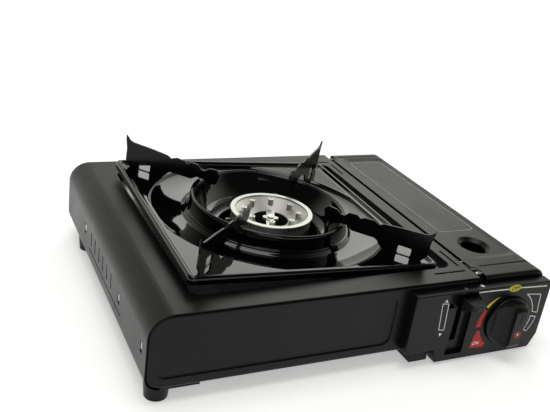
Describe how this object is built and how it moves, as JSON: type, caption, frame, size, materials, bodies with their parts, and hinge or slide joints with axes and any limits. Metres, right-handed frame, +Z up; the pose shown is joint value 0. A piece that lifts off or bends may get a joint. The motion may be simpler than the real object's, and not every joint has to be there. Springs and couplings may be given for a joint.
{
  "type": "butane cassette stove",
  "caption": "Portable tabletop gas stove: black sheet-steel body, enamelled pan with pot supports over an aluminium burner, lidded cartridge bay, control knob and lock lever.",
  "frame": {"origin": "on the table, under the middle of the overall box", "axes": "+X to the cartridge side, -Y to the controls at the front, +Z up"},
  "size_m": [0.34, 0.292, 0.1123],
  "materials": {
    "black_coat": "satin powder coat",
    "black_enamel": "gloss vitreous enamel",
    "galvanised": "bright galvanised sheet",
    "cast_aluminium": "as cast and turned",
    "die_cast": "die-cast, matte",
    "plated_steel": "bright plated",
    "jet_brass": "turned brass",
    "black_plastic": "moulded, satin",
    "red_plastic": "moulded",
    "lead_sleeve": "silicone sleeve",
    "white_ceramic": "glazed ceramic"
  },
  "bodies": {
    "stove": {"top_shell": "black_coat", "front_panel": "black_coat", "back_panel": "black_coat", "base_tray": "black_coat", "liner_plate": "galvanised", "heat_shield": "galvanised", "burner_bracket": "galvanised", "burner_body": "cast_aluminium", "burner_cap": "cast_aluminium", "burner_screw": "plated_steel", "mixing_tube": "galvanised", "gas_jet": "jet_brass", "gas_pipe": "cast_aluminium", "regulator_body": "die_cast", "regulator_cover": "galvanised", "cover_screws": "plated_steel", "bulkhead": "galvanised", "piezo_igniter": "red_plastic", "ignition_lead": "lead_sleeve", "electrode_ceramic": "white_ceramic", "electrode_pin": "plated_steel", "bay_tray": "black_coat", "cartridge_saddles": "galvanised", "hinge_pins": "plated_steel", "control_fascia": "black_plastic", "fascia_screws": "plated_steel", "crank_pin": "plated_steel", "back_screws": "plated_steel", "base_screws": "plated_steel", "foot_front_left": "black_plastic", "foot_rear_left": "black_plastic", "foot_front_right": "black_plastic", "foot_rear_right": "black_plastic"},
    "lid": {"lid": "black_coat"},
    "knob": {"control_knob": "black_plastic", "valve_spindle": "jet_brass"},
    "lever": {"lock_lever": "black_plastic"},
    "crank": {"lock_crank": "galvanised"},
    "pusher": {"lock_bar": "galvanised", "cartridge_pusher": "galvanised"},
    "pan": {"drip_pan": "black_enamel", "wind_collar": "black_enamel", "pot_support_1": "black_enamel", "pot_support_2": "black_enamel", "pot_support_3": "black_enamel", "pot_support_4": "black_enamel"}
  },
  "joints": [
    {"name": "lid_hinge", "type": "hinge", "parent": "stove", "child": "lid", "pos_m": [0.104, 0, 0.0696], "axis": [0, -1, 0], "range_deg": [0, 95]},
    {"name": "knob_turn", "type": "hinge", "parent": "stove", "child": "knob", "pos_m": [0.1305, -0.13, 0.0345], "axis": [0, -1, 0], "range_deg": [0, 125]},
    {"name": "lever_slide", "type": "slide", "parent": "stove", "child": "lever", "axis": [0, 0, -1], "range_m": [0, 0.03]},
    {"name": "crank_turn", "type": "hinge", "parent": "stove", "child": "crank", "pos_m": [0.094, -0.087, 0.039], "axis": [1, 0, 0], "range_deg": [0, 60]},
    {"name": "pusher_slide", "type": "slide", "parent": "stove", "child": "pusher", "axis": [0, -1, 0], "range_m": [0, 0.007]},
    {"name": "pan_lift", "type": "slide", "parent": "stove", "child": "pan", "axis": [0, 0, 1], "range_m": [0, 0.12]}
  ],
  "couplings": [
    {"joint": "crank_turn", "follows": "lever_slide", "rad_per_m": 34.9},
    {"joint": "pusher_slide", "follows": "lever_slide", "ratio": 0.2333}
  ]
}
